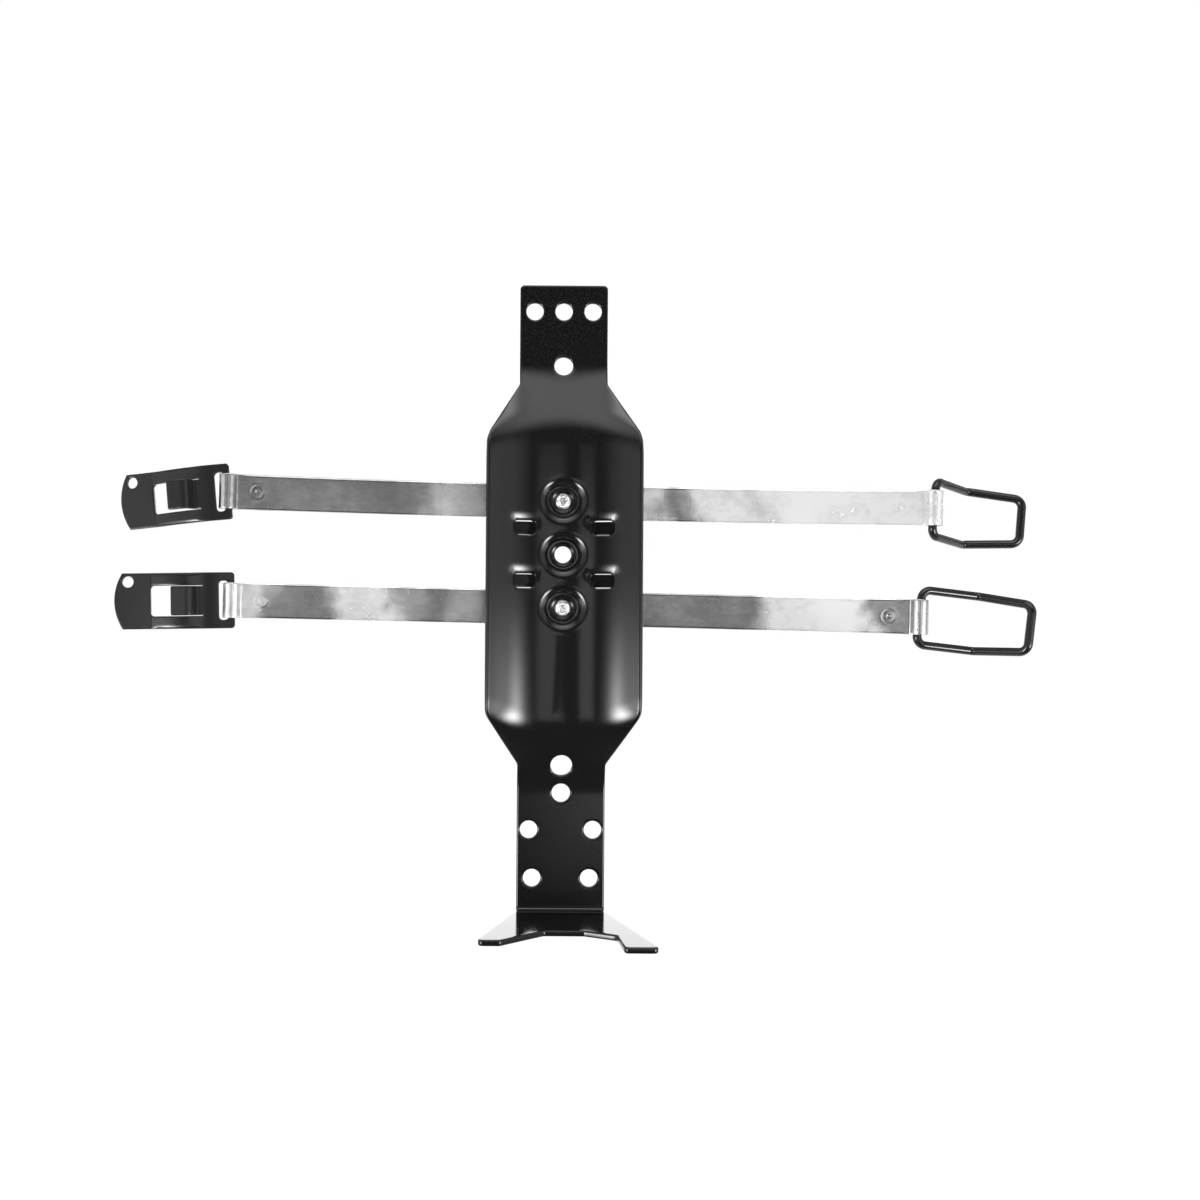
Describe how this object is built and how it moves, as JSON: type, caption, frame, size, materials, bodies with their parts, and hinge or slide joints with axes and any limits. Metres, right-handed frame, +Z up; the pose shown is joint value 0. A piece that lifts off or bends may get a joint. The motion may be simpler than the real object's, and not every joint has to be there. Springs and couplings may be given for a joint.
{
  "type": "fire extinguisher bracket",
  "caption": "Wall bracket that cradles a fire extinguisher: saddle backplate with a forked foot, and riveted straps closed by hook levers and wire bails.",
  "frame": {"origin": "on the back of the top tab, on the centreline, between the row of three holes and the single hole", "axes": "+Z up, +Y into the wall, +X to the right as seen from the room"},
  "size_m": [0.307, 0.0482, 0.215],
  "materials": {
    "plate_paint": "gloss",
    "strap_zinc": "bright zinc plated, scratched",
    "rivet_zinc": "bright zinc plated",
    "lever_black": "satin",
    "bail_black": "gloss"
  },
  "bodies": {
    "bracket": {"backplate": "plate_paint", "upper_strap": "strap_zinc", "lower_strap": "strap_zinc", "upper_rivet": "rivet_zinc", "lower_rivet": "rivet_zinc"},
    "upper_lever": {"upper_lever": "lever_black"},
    "lower_lever": {"lower_lever": "lever_black"},
    "upper_bail": {"upper_bail": "bail_black"},
    "lower_bail": {"lower_bail": "bail_black"}
  },
  "joints": [
    {"name": "upper_lever_pivot", "type": "hinge", "parent": "bracket", "child": "upper_lever", "pos_m": [-0.1121, -0.01142, -0.05354], "axis": [-0.0896, 0.0247, 0.9957], "range_deg": [-135, 163]},
    {"name": "lower_lever_pivot", "type": "hinge", "parent": "bracket", "child": "lower_lever", "pos_m": [-0.1107, -0.01114, -0.08977], "axis": [-0.0192, 0, 0.9998], "range_deg": [-152, 153]},
    {"name": "upper_bail_pivot", "type": "hinge", "parent": "bracket", "child": "upper_bail", "pos_m": [0.12241, -0.01359, -0.05764], "axis": [0.0962, 0.0686, 0.993], "range_deg": [-178, 134]},
    {"name": "lower_bail_pivot", "type": "hinge", "parent": "bracket", "child": "lower_bail", "pos_m": [0.11811, -0.01266, -0.09376], "axis": [0.1092, 0.0097, 0.994], "range_deg": [-164, 162]}
  ]
}
